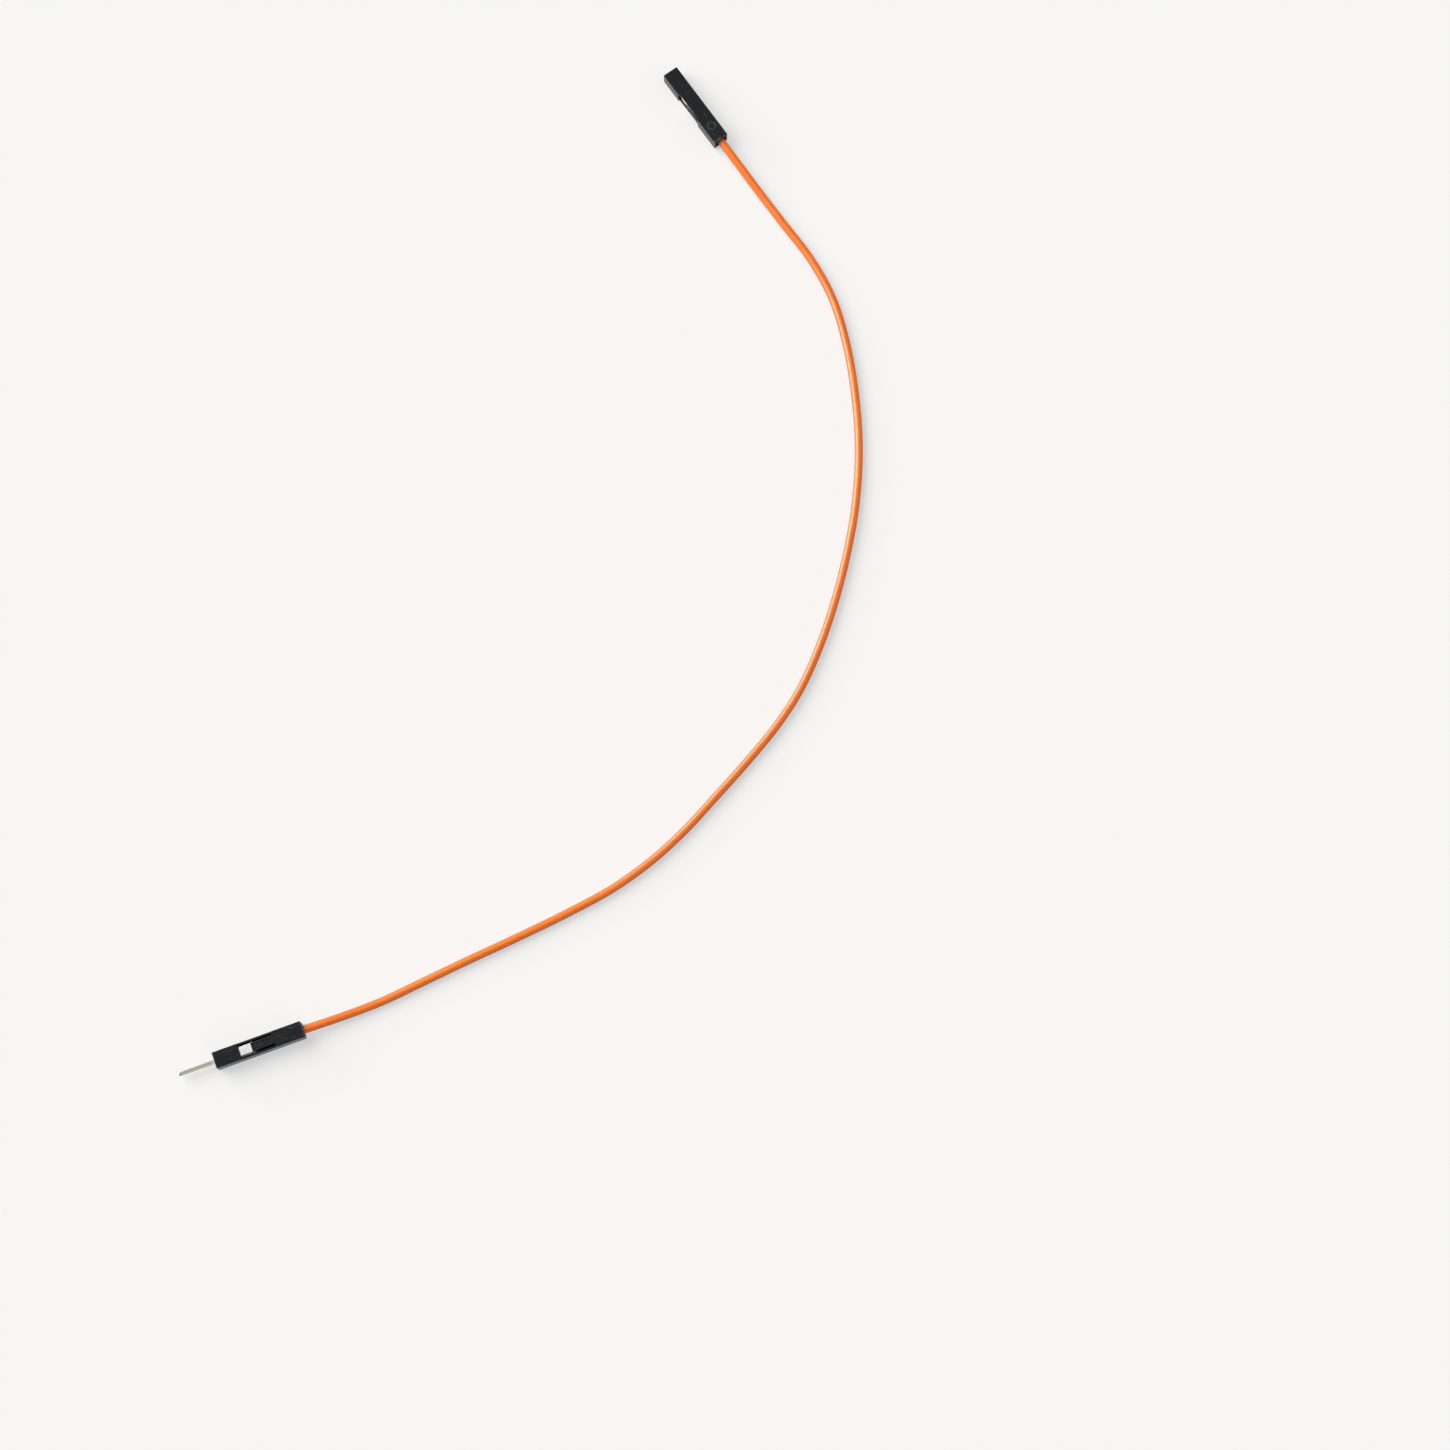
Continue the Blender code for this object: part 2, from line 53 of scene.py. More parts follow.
# The wire and its way across the table, as the part's source has them, in metres
WIRE_DIAMETER = 0.00130
WIRE_INSIDE = 0.00467
WIRE_BORE = 0.00028
WIRE_BORE_DEPTH = 0.0012
WIRE_CUT_EASE = 0.00003
WIRE_SIDES = 24
WIRE_STEP = 0.0005
SETTLE_LENGTH = 0.013
PITCH = 0.00254
MALE_EXIT = (-0.02248, -0.07356)
MALE_TURN = (0.0, -160.0)
FEMALE_EXIT = (0.04033, 0.06845)
FEMALE_TURN = (-90.0, 125.5)
PIN_END = (MALE_EXIT, MALE_TURN)
SOCKET_END = (FEMALE_EXIT, FEMALE_TURN)
ROUTE_STEPS = 24
ROUTE = [
    (-0.0169, -0.0716), (-0.0106, -0.0691), (-0.0044, -0.0661), (0.0024, -0.0628),
    (0.0090, -0.0597), (0.0169, -0.0558), (0.0238, -0.0520), (0.0296, -0.0478),
    (0.0346, -0.0432), (0.0395, -0.0378), (0.0445, -0.0321), (0.0490, -0.0265),
    (0.0525, -0.0210), (0.0555, -0.0143), (0.0579, -0.0072), (0.0598, 0.0002),
    (0.0613, 0.0085), (0.0619, 0.0175), (0.0614, 0.0263), (0.0601, 0.0347),
    (0.0579, 0.0424), (0.0545, 0.0489), (0.0500, 0.0551), (0.0452, 0.0617),
]

# One housing, in millimetres along X from its wire end. An ease is the rounding of an edge
LENGTH = 14.0
HALF = 1.27
BORE_HALF = 0.953
BORE_END = 13.3
SKIRT = 4.6
COLLAR = 10.0
RAIL_TOP = 1.02
SLOT = 0.25
TONGUE_TIP = 8.05
TONGUE_BOTTOM = 0.993
TONGUE_TOP = 1.23
TONGUE_EASE = 0.035
CHANNEL_MARGIN = 0.33
CHANNEL_SLOPE = 0.03
CHANNEL_DEPTH = 0.08
HOLE_HALF = 0.47
LEAD_IN = 0.2
WIRE_END_EASE = 0.12
CORNER_EASE = 0.08
MOUTH_EASE = 0.05
BORE_EASE = 0.10
OPENING_EASE = 0.15
STEP_EASE = 0.04

# The ring that the mould leaves on one side, and the dimple in it
MARK_PLACE = 2.6
MARK_RADIUS = 0.62
MARK_GROOVE = 0.07
DIMPLE_RADIUS = 0.265
DIMPLE_OUTSIDE = 0.225

# One contact, in the same millimetres: its sheet, its two crimps, its box, its pin or spring
SHEET = 0.20
SHEET_EASE = 0.02
BEND = 0.20
FOLD_MID = 0.783
STRAND_MID = 0.3855
STRIP_SIDES = 28
CRIMP = 2.7
CRIMP_FLARE = 1.025
CRIMP_FLARE_LENGTH = 0.15
CRIMP_END = 4.55
NECK = 0.25
STRAND_CRIMP = 5.15
STRAND_CRIMP_END = 6.85
BOX = 8.13
BOX_FRONT = 12.97
PIN_BOX_FRONT = BOX_FRONT - 0.9
PIN_HALF = 0.32
PIN_EASE = 0.07
PIN_TIP = 20.0
PIN_TIP_LENGTH = 0.65
SEAM_HALF = 0.034
SPRING_BEND = 0.16
SPRING_HALF = 0.30

# How close two places are that count as the same, in millimetres
TOLERANCE = 0.002


def set_camera():
    """The photograph's view, looking along +Y and down at the table."""
    data = bpy.data.cameras.new("camera")
    data.lens = CAMERA_LENS
    data.sensor_width = 36.0
    data.clip_start = 0.01
    camera = bpy.data.objects.new("camera", data)
    bpy.context.scene.collection.objects.link(camera)
    elevation = math.radians(CAMERA_ELEVATION)
    away = Vector((0.0, -math.cos(elevation), math.sin(elevation)))
    camera.location = CAMERA_TARGET + CAMERA_DISTANCE * away
    camera.rotation_euler = (math.pi / 2 - elevation, 0.0, 0.0)
    bpy.context.scene.camera = camera


class Value:
    """One output of a node. Arithmetic on it adds Math nodes to its tree."""

    def __init__(self, nodes, output):
        self.nodes = nodes
        self.output = output

    def __add__(self, other):
        return self.nodes.maths("ADD", self, other)

    def __radd__(self, other):
        return self.nodes.maths("ADD", other, self)

    def __sub__(self, other):
        return self.nodes.maths("SUBTRACT", self, other)

    def __rsub__(self, other):
        return self.nodes.maths("SUBTRACT", other, self)

    def __mul__(self, other):
        return self.nodes.maths("MULTIPLY", self, other)

    def __rmul__(self, other):
        return self.nodes.maths("MULTIPLY", other, self)


class Nodes:
    """A tree of shader nodes in the making."""

    def __init__(self, tree):
        self.tree = tree

    def node(self, kind, settings=None, sockets=None, output=0):
        """Adds a node of that kind: its settings first, then the values or links of its sockets."""
        node = self.tree.nodes.new("ShaderNode" + kind)
        for name, value in (settings or {}).items():
            setattr(node, name, value)
        for name, value in (sockets or {}).items():
            self.feed(node.inputs[name], value)
        return Value(self, node.outputs[output])

    def feed(self, socket, value):
        if isinstance(value, Value):
            self.tree.links.new(value.output, socket)
        else:
            socket.default_value = value

    def maths(self, operation, first, second):
        return self.node("Math", {"operation": operation}, {0: first, 1: second})

    def between(self, value, low, high):
        """0 where the value is at low, 1 at high, smooth in between."""
        return self.node(
            "MapRange",
            {"interpolation_type": "SMOOTHSTEP"},
            {"Value": value, "From Min": low, "From Max": high},
        )

    def lesser(self, first, second):
        return self.maths("MINIMUM", first, second)

    def greater(self, first, second):
        return self.maths("MAXIMUM", first, second)

    def size(self, value):
        return self.maths("ABSOLUTE", value, 0.0)

    def axis(self, place, index):
        return self.node("SeparateXYZ", None, {"Vector": place}, output=index)

    def mix(self, share, first, second):
        """A colour between two others. Sockets 6, 7 and 2 are the node's sockets for colours."""
        return self.node("Mix", {"data_type": "RGBA"}, {0: share, 6: first, 7: second}, output=2)

    def seen(self):
        """1 for what the camera sees, also reflected or through glass, and 0 for other light."""
        rays = ("Is Camera Ray", "Is Glossy Ray", "Is Transmission Ray")
        camera, glossy, through = (self.node("LightPath", output=ray) for ray in rays)
        return self.greater(self.greater(camera, glossy), through)

    def stretched(self, place, scale):
        """The place with each of its axes scaled, so that a pattern is longer one way."""
        return self.node("VectorMath", {"operation": "MULTIPLY"}, {0: place, 1: scale})

    def noise(self, place, scale, detail, roughness=0.5):
        return self.node(
            "TexNoise",
            None,
            {"Vector": place, "Scale": scale, "Detail": detail, "Roughness": roughness},
        )


class Finish(Nodes):
    """A material in the making: a Principled shader and the nodes that feed it."""

    def __init__(self, name, **constants):
        self.material = bpy.data.materials.new(name)
        self.material.use_nodes = True
        super().__init__(self.material.node_tree)
        self.shader = self.tree.nodes["Principled BSDF"]
        for socket, value in constants.items():
            self.shader.inputs[socket.replace("_", " ")].default_value = value

    def set(self, socket, value):
        self.feed(self.shader.inputs[socket], value)

    def bump(self, height, distance):
        self.set("Normal", self.node("Bump", None, {"Distance": distance, "Height": height}))


def grey(value):
    return (value, value, value, 1.0)


def add_daylight(name, strength, spread, azimuth, elevation, colour):
    """Light from one side of the sky, as wide as its spread, the same all over the table."""
    data = bpy.data.lights.new(name, "SUN")
    data.energy = strength
    data.angle = math.radians(spread)
    data.color = colour
    lamp = bpy.data.objects.new(name, data)
    across = math.radians(azimuth)
    above = math.radians(elevation)
    level = math.cos(above)
    way = Vector((math.cos(across) * level, math.sin(across) * level, math.sin(above)))
    lamp.rotation_euler = way.to_track_quat("Z", "Y").to_euler()
    lamp.location = way
    bpy.context.scene.collection.objects.link(lamp)


def light_table():
    """A broad window on the left, a soft light above, a low fill on the right, and a dim room.

    The camera sees the room as pale as the table. Reflections see it darker towards overhead.
    """
    add_daylight(
        "window_light",
        strength=4.5,
        spread=58.0,
        azimuth=155.0,
        elevation=34.0,
        colour=(1.0, 0.97, 0.90),
    )
    add_daylight(
        "ceiling_light",
        strength=0.20,
        spread=34.0,
        azimuth=90.0,
        elevation=76.0,
        colour=(0.80, 0.88, 1.0),
    )
    add_daylight(
        "room_light",
        strength=0.75,
        spread=90.0,
        azimuth=-20.0,
        elevation=22.0,
        colour=(1.0, 0.97, 0.93),
    )
    bpy.context.scene.world = bpy.data.worlds.new("room")
    bpy.context.scene.world.use_nodes = True
    room = Nodes(bpy.context.scene.world.node_tree)
    dim = 0.13
    behind = 0.92
    horizon = 0.75
    overhead = 0.28
    upward = room.axis(room.node("TexCoord", output="Generated"), 2)
    straight = room.node("LightPath", output="Is Camera Ray")
    reflected = horizon - room.between(upward, 0.0, 0.8) * (horizon - overhead)
    pale = room.greater(straight * behind, reflected)
    colour = room.mix(straight, (0.90, 0.94, 1.0, 1.0), (1.0, 1.0, 0.98, 1.0))
    background = room.tree.nodes["Background"]
    room.feed(background.inputs["Color"], colour)
    room.feed(background.inputs["Strength"], dim + room.seen() * (pale - dim))
    bpy.context.scene.view_settings.view_transform = "Standard"


def laid_along(finish, end):
    """The place on a piece in millimetres from its housing's wire end, the housing along X."""
    exit_point, turn = end
    return finish.node(
        "Mapping",
        {"vector_type": "TEXTURE"},
        {
            "Vector": finish.node("TexCoord", output="Object"),
            "Location": (*exit_point, PITCH / 2),
            "Rotation": (math.radians(turn[0]), 0.0, math.radians(turn[1])),
            "Scale": (MM, MM, MM),
        },
    )


def insulation_finish():
    """Glossy orange vinyl: faint lines from its extrusion, paler rubs and a few specks of dust."""
    finish = Finish("insulation_orange", Specular_IOR_Level=0.78)
    laid = finish.node("Attribute", {"attribute_name": "laid_straight"}, output="Vector")
    slow = finish.noise(finish.stretched(laid, (0.06, 0.5, 0.5)), 1.0, 3.0)
    lines = finish.noise(finish.stretched(laid, (0.05, 5.0, 5.0)), 1.0, 3.0, 0.6)
    rubs = finish.noise(finish.stretched(laid, (0.5, 2.2, 2.2)), 1.0, 4.0, 0.65)
    rubbed = finish.between(rubs, 0.60, 0.72)
    specks = finish.between(finish.noise(laid, 3.2, 3.0, 0.6), 0.70, 0.76)
    orange = finish.mix(slow, (0.91, 0.152, 0.002, 1.0), (0.96, 0.214, 0.005, 1.0))
    rubbed_orange = finish.mix(rubbed * 0.26, orange, (0.95, 0.40, 0.12, 1.0))
    finish.set("Base Color", finish.mix(specks * 0.5, rubbed_orange, (0.25, 0.07, 0.02, 1.0)))
    finish.set("Roughness", 0.19 + slow * 0.04 + rubbed * 0.08)
    finish.bump(lines * 0.35 + slow * 0.5 + rubs * 0.08, 0.000006)
    return finish.material


def housing_finish(name, end):
    """Satin black moulding: grain, smudges, scratches, worn edges, scuffs at its wire end, and a
    painted highlight on the rims of its ring mark.
    """
    finish = Finish(name, Specular_IOR_Level=0.22)
    place = laid_along(finish, end)
    along = finish.axis(place, 0)
    across = finish.size(finish.axis(place, 1))
    above = finish.size(finish.axis(place, 2))
    smudges = finish.noise(place, 0.9, 4.0, 0.6)
    grain = finish.noise(place, 16.0, 3.0, 0.6)
    fine = finish.noise(finish.stretched(place, (0.35, 9.0, 9.0)), 1.0, 3.0, 0.6)
    scratched = finish.between(fine, 0.62, 0.70)
    long_edges = finish.between(finish.lesser(across, above), 1.13, 1.25)
    wire_rim = finish.between(0.3 - along, 0.0, 0.3)
    front_rim = finish.between(along, LENGTH - 0.2, LENGTH)
    outer = finish.between(finish.greater(across, above), 1.05, 1.25)
    rim_edges = finish.greater(wire_rim, front_rim) * outer
    patches = finish.between(finish.noise(place, 2.4, 4.0, 0.7), 0.44, 0.62)
    worn = finish.greater(long_edges, rim_edges) * patches
    mark = (MARK_PLACE, -HALF, 0.0)
    from_mark = finish.node(
        "VectorMath", {"operation": "DISTANCE"}, {0: place, 1: mark}, output="Value"
    )
    # Painted highlight: the two rims of the ring mark's groove are made paler, as if they caught
    # the light
    from_rim = finish.size(finish.size(from_mark - MARK_RADIUS) - 0.08)
    ring_rim_highlight = 1.0 - finish.between(from_rim, 0.0, 0.055)
    flaky = finish.noise(finish.stretched(place, (1.3, 3.2, 3.2)), 1.0, 5.0, 0.72)
    flecks = finish.between(flaky, 0.58, 0.68)
    scuffed = flecks * finish.between(3.4 - along, 0.0, 2.6)
    chipped = finish.between(0.20 - along, 0.0, 0.14) * patches
    black = finish.mix(smudges, (0.0038, 0.0042, 0.0054, 1.0), (0.0074, 0.0080, 0.0102, 1.0))
    black = finish.mix(scratched * 0.35, black, grey(0.060))
    # The ring mark's rims get a pale grey as a painted highlight
    black = finish.mix(ring_rim_highlight * 0.8, black, (0.125, 0.130, 0.142, 1.0))
    black = finish.mix(scuffed * 0.7, black, (0.230, 0.230, 0.238, 1.0))
    black = finish.mix(chipped * 0.7, black, (0.300, 0.300, 0.308, 1.0))
    finish.set("Base Color", finish.mix(worn * 0.45, black, (0.120, 0.120, 0.125, 1.0)))
    finish.set("Roughness", 0.18 + smudges * 0.18 + scratched * 0.12 + scuffed * 0.2)
    finish.bump(grain * 0.5 + smudges * 1.2 - scratched * 0.5 - scuffed * 0.8, 0.000012)
    return finish.material


def contact_finish(name, end):
    """Bright plated sheet: rolled lines, duller and yellower patches, and a pin painted darker as
    shade.
    """
    finish = Finish(name, Metallic=1.0)
    place = laid_along(finish, end)
    rolled = finish.noise(finish.stretched(place, (0.5, 16.0, 16.0)), 1.0, 2.0)
    dull = finish.between(finish.noise(place, 1.5, 4.0, 0.62), 0.42, 0.72)
    # Painted shade: the pin beyond the housing's front is made darker and a little rougher,
    # standing in for its dark reflection and toning down the glare on its tip
    pin_painted_shade = finish.between(finish.axis(place, 0), LENGTH - 0.4, LENGTH + 0.8)
    plating = finish.mix(dull, (0.93, 0.89, 0.79, 1.0), (0.80, 0.73, 0.58, 1.0))
    # The pin gets a darker brass as painted shade
    finish.set("Base Color", finish.mix(pin_painted_shade * 0.8, plating, (0.56, 0.49, 0.37, 1.0)))
    finish.set("Roughness", 0.12 + dull * 0.14 + rolled * 0.06 + pin_painted_shade * 0.04)
    finish.bump(rolled + dull * 0.4, 0.000003)
    return finish.material


def strand_finish():
    """Drawn copper, a little darker in places."""
    finish = Finish("strand_copper", Metallic=1.0)
    place = finish.stretched(finish.node("TexCoord", output="Object"), (1 / MM, 1 / MM, 1 / MM))
    tarnish = finish.between(finish.noise(place, 2.5, 3.0, 0.6), 0.40, 0.75)
    finish.set("Base Color", finish.mix(tarnish, (0.86, 0.50, 0.33, 1.0), (0.62, 0.30, 0.18, 1.0)))
    finish.set("Roughness", 0.20 + tarnish * 0.15)
    return finish.material


def floor_finish():
    """Pale table. What is seen of it is evened out, and the wire's shadow stays."""
    finish = Finish("floor_white", Roughness=0.9)
    finish.set("Base Color", grey(0.32))
    pale = finish.node("BsdfDiffuse", None, {"Color": grey(0.85)})
    glow = finish.node("Emission", None, {"Color": grey(1.0), "Strength": 0.945})
    evened = 0.55
    even = finish.node("MixShader", None, {0: evened, 1: pale, 2: glow})
    lit = Value(finish, finish.shader.outputs[0])
    surface = finish.node("MixShader", None, {0: finish.seen(), 1: lit, 2: even})
    finish.tree.links.new(surface.output, finish.tree.nodes["Material Output"].inputs["Surface"])
    return finish.material


def wear(piece, material):
    piece.data.materials.clear()
    piece.data.materials.append(material)


def smooth_line(points, steps):
    """A smooth curve through the points, with spans weighted by the root of their length."""
    ends = [2 * points[0] - points[1]] + points + [2 * points[-1] - points[-2]]
    line = []
    for before, first, second, after in zip(ends, ends[1:], ends[2:], ends[3:]):
        t1 = math.sqrt((first - before).length)
        t2 = t1 + math.sqrt((second - first).length)
        t3 = t2 + math.sqrt((after - second).length)
        for step in range(steps):
            t = t1 + (t2 - t1) * step / steps
            a = before.lerp(first, t / t1)
            b = first.lerp(second, (t - t1) / (t2 - t1))
            c = second.lerp(after, (t - t2) / (t3 - t2))
            early = a.lerp(b, t / t2)
            late = b.lerp(c, (t - t1) / (t3 - t1))
            line.append(early.lerp(late, (t - t1) / (t2 - t1)))
    line.append(points[-1])
    return line


def lengths_along(line):
    lengths = [0.0]
    for first, second in zip(line, line[1:]):
        lengths.append(lengths[-1] + (second - first).length)
    return lengths


def evenly(line, step):
    """The same line with its points a near-equal step apart."""
    lengths = lengths_along(line)
    count = round(lengths[-1] / step)
    result = []
    span = 0
    for index in range(count + 1):
        target = lengths[-1] * index / count
        while span < len(line) - 2 and lengths[span + 1] < target:
            span += 1
        share = (target - lengths[span]) / (lengths[span + 1] - lengths[span])
        result.append(line[span].lerp(line[span + 1], share))
    return result


def inward(exit_point, heading):
    """The wire's run inside a housing, from its end in the crimp out to the housing's rim."""
    angle = math.radians(heading)
    way = Vector((math.cos(angle), math.sin(angle), 0.0))
    mouth = Vector((*exit_point, PITCH / 2))
    count = round(WIRE_INSIDE / WIRE_STEP)
    return [mouth + way * (WIRE_INSIDE * (1 - index / count)) for index in range(count)]


def wire_line():
    """The wire's centreline: straight out of each housing, then down onto the table."""
    free = [Vector((x, y, 0)) for x, y in (MALE_EXIT, *ROUTE, FEMALE_EXIT)]
    line = evenly(smooth_line(free, ROUTE_STEPS), WIRE_STEP)
    lengths = lengths_along(line)
    rest = WIRE_DIAMETER / 2
    for point, length in zip(line, lengths):
        share = min(min(length, lengths[-1] - length) / SETTLE_LENGTH, 1.0)
        point.z = PITCH / 2 + (rest - PITCH / 2) * share * share * (3 - 2 * share)
    return [
        *inward(MALE_EXIT, MALE_TURN[1]),
        *line,
        *reversed(inward(FEMALE_EXIT, FEMALE_TURN[1])),
    ]


def make_wire():
    """A round tube along the wire's line, with each point's place as if the wire lay straight."""
    line = wire_line()
    lengths = lengths_along(line)
    ways = [(b - a).normalized() for a, b in zip(line, line[1:])]
    tangents = [ways[0], *(a + b for a, b in zip(ways, ways[1:])), ways[-1]]
    mesh = bpy.data.meshes.new("wire")
    bm = bmesh.new()
    laid = bm.verts.layers.float_vector.new("laid_straight")
    radius = WIRE_DIAMETER / 2

    def ring(index, width, shift):
        """One ring of the tube at a point of the line, moved along it by a shift."""
        tangent = tangents[index].normalized()
        side = tangent.cross(Vector((0, 0, 1))).normalized()
        up = side.cross(tangent)
        vertices = []
        for number in range(WIRE_SIDES):
            angle = 2 * math.pi * number / WIRE_SIDES
            across = math.cos(angle) * width
            above = math.sin(angle) * width
            vertex = bm.verts.new(line[index] + tangent * shift + side * across + up * above)
            vertex[laid] = Vector((lengths[index] + shift, across, above)) / MM
            vertices.append(vertex)
        return vertices

    last = len(line) - 1
    cut_end = (
        (WIRE_BORE, WIRE_BORE_DEPTH),
        (WIRE_BORE, 0.0),
        (radius - WIRE_CUT_EASE, 0.0),
        (radius, WIRE_CUT_EASE),
    )
    rings = [ring(0, width, shift) for width, shift in cut_end]
    rings += [ring(index, radius, 0.0) for index in range(1, last)]
    rings += [ring(last, width, -shift) for width, shift in reversed(cut_end)]
    for first, second in zip(rings, rings[1:]):
        for index in range(WIRE_SIDES):
            after = (index + 1) % WIRE_SIDES
            bm.faces.new((first[index], first[after], second[after], second[index]))
    bm.faces.new(list(reversed(rings[0])))
    bm.faces.new(rings[-1])
    bmesh.ops.recalc_face_normals(bm, faces=bm.faces)
    bm.to_mesh(mesh)
    bm.free()
    wire = bpy.data.objects.new("wire", mesh)
    bpy.context.scene.collection.objects.link(wire)
    mesh.shade_smooth()
    wear(wire, insulation_finish())
    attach(wire, "root")
    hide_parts("wire_insulation")


def close_edit():
    bpy.ops.object.mode_set(mode="OBJECT")


def deselect_all():
    if bpy.context.object and bpy.context.object.mode != "OBJECT":
        close_edit()
    bpy.ops.object.select_all(action="DESELECT")


def work_on(piece):
    """Selects one piece alone and makes it the active one."""
    deselect_all()
    piece.select_set(True)
    bpy.context.view_layer.objects.active = piece


def pick(piece, kind, wanted):
    """Opens the piece in edit mode with only its wanted vertices, edges or faces selected."""
    if bpy.context.object != piece or piece.mode != "EDIT":
        work_on(piece)
        bpy.ops.object.mode_set(mode="EDIT")
    bpy.ops.mesh.select_mode(type=kind)
    bpy.ops.mesh.select_all(action="DESELECT")
    shape = bmesh.from_edit_mesh(piece.data)
    for item in {"VERT": shape.verts, "EDGE": shape.edges, "FACE": shape.faces}[kind]:
        if wanted(item):
            item.select_set(True)
    shape.select_flush_mode()
    bmesh.update_edit_mesh(piece.data)


def near(value, target):
    return abs(value - target) < TOLERANCE


def runs_along(axis):
    """A test for edges that lie along one axis."""
    def test(edge):
        way = edge.verts[1].co - edge.verts[0].co
        return abs(way[axis]) > 0.98 * way.length
    return test


def all_at(axis, place):
    """A test for edges whose vertices all lie on one plane."""
    return lambda edge: all(near(vert.co[axis], place) for vert in edge.verts)


def block(name, low, high):
    """A cube primitive set to the size and place between two corners."""
    deselect_all()
    middle = [(a + b) / 2 for a, b in zip(low, high)]
    size = [b - a for a, b in zip(low, high)]
    bpy.ops.mesh.primitive_cube_add(size=1.0, location=middle, scale=size)
    bpy.ops.object.transform_apply(location=True, rotation=False, scale=True)
    bpy.context.object.name = name
    return bpy.context.object


def ease(piece, wanted, width, segments):
    """Rounds the wanted edges."""
    pick(piece, "EDGE", wanted)
    bpy.ops.mesh.bevel(
        offset=width, segments=segments, profile=0.5, affect="EDGES", clamp_overlap=True
    )
    close_edit()


def move(step):
    bpy.ops.transform.translate(value=step)


def draw_out(step, scale=1.0):
    """Extrudes the selection by a step and scales its new end across X."""
    bpy.ops.mesh.extrude_region()
    move(step)
    if scale != 1.0:
        bpy.ops.transform.resize(value=(1.0, scale, scale), center_override=(0.0, 0.0, 0.0))


def finish_with(piece, kind, **settings):
    """Adds a modifier to the piece and applies it."""
    work_on(piece)
    modifier = piece.modifiers.new(kind.lower(), kind)
    for name, value in settings.items():
        setattr(modifier, name, value)
    bpy.ops.object.modifier_apply(modifier=modifier.name)


def cut(piece, *cutters):
    for cutter in cutters:
        finish_with(piece, "BOOLEAN", operation="DIFFERENCE", solver="EXACT", object=cutter)
        bpy.data.objects.remove(cutter, do_unlink=True)


def join(piece, other):
    """Puts another piece into the same mesh."""
    work_on(piece)
    other.select_set(True)
    bpy.ops.object.join()


def smooth(piece, angle):
    """Smooth shading up to an angle, with flat faces kept flat beside their rounded edges."""
    work_on(piece)
    bpy.ops.object.shade_smooth_by_angle(angle=math.radians(angle))
    finish_with(piece, "WEIGHTED_NORMAL", keep_sharp=True, weight=50)


def lay_at(piece, name, end):
    """Scales a piece to metres and lays it at its end of the wire, with its place in its mesh."""
    exit_point, turn = end
    work_on(piece)
    piece.name = name
    piece.data.name = name
    piece.scale = (MM, MM, MM)
    piece.rotation_euler = (math.radians(turn[0]), 0.0, math.radians(turn[1]))
    piece.location = (*exit_point, PITCH / 2)
    bpy.ops.object.transform_apply(location=True, rotation=True, scale=True)


def shape_housing_shell():
    """The moulding without its latch tongue: bore, lowered rails, latch opening and front hole."""
    shell = block("shell", (0.0, -HALF, -HALF), (LENGTH, HALF, HALF))
    ease(shell, all_at(0, 0.0), WIRE_END_EASE, 3)
    ease(shell, all_at(0, LENGTH), CORNER_EASE, 3)

    def on_corner(edge):
        first, second = (vert.co for vert in edge.verts)
        same_corner = first.y * second.y > 0 and first.z * second.z > 0
        return same_corner and all(near(abs(place.y), abs(place.z)) for place in (first, second))

    ease(shell, on_corner, CORNER_EASE, 3)
    bore = block("bore", (-1.0, -BORE_HALF, -BORE_HALF), (BORE_END, BORE_HALF, BORE_HALF))
    ease(bore, runs_along(0), BORE_EASE, 3)
    rails = block("rails", (SKIRT, -3.0, RAIL_TOP), (COLLAR, 3.0, 3.0))
    ease(rails, lambda edge: all_at(2, RAIL_TOP)(edge) and runs_along(1)(edge), BORE_EASE, 3)
    opening = block("opening", (SKIRT, -BORE_HALF, 0.0), (COLLAR, BORE_HALF, 3.0))
    ease(opening, runs_along(2), OPENING_EASE, 4)
    hole = block(
        "hole",
        (BORE_END - 1.0, -HOLE_HALF, -HOLE_HALF),
        (LENGTH + 1.0, HOLE_HALF, HOLE_HALF),
    )
    lead_in = block(
        "lead_in",
        (LENGTH - LEAD_IN, -HOLE_HALF, -HOLE_HALF),
        (LENGTH + LEAD_IN, HOLE_HALF, HOLE_HALF),
    )
    pick(lead_in, "VERT", lambda vert: vert.co.x > LENGTH)
    wide = (HOLE_HALF + 2 * LEAD_IN) / HOLE_HALF
    bpy.ops.transform.resize(value=(1.0, wide, wide), center_override=(LENGTH + LEAD_IN, 0.0, 0.0))
    close_edit()
    cut(shell, bore, rails, opening, hole, lead_in)

    def mouth(edge):
        inner = all(max(abs(vert.co.y), abs(vert.co.z)) < BORE_HALF + 0.01 for vert in edge.verts)
        return inner and all_at(0, 0.0)(edge)

    def step_edges(edge):
        on_step = all_at(0, SKIRT)(edge) or all_at(0, COLLAR)(edge)
        return on_step and all(vert.co.z > RAIL_TOP + 0.09 for vert in edge.verts) and all(
            vert.co.z > HALF - TOLERANCE or abs(vert.co.y) > HALF - 0.09 for vert in edge.verts
        )

    def rail_edges(edge):
        return all_at(2, RAIL_TOP)(edge) and runs_along(0)(edge) and edge.calc_length() > 1.0

    ease(shell, mouth, MOUTH_EASE, 2)
    ease(shell, step_edges, STEP_EASE, 2)
    ease(shell, rail_edges, STEP_EASE, 2)
    return shell


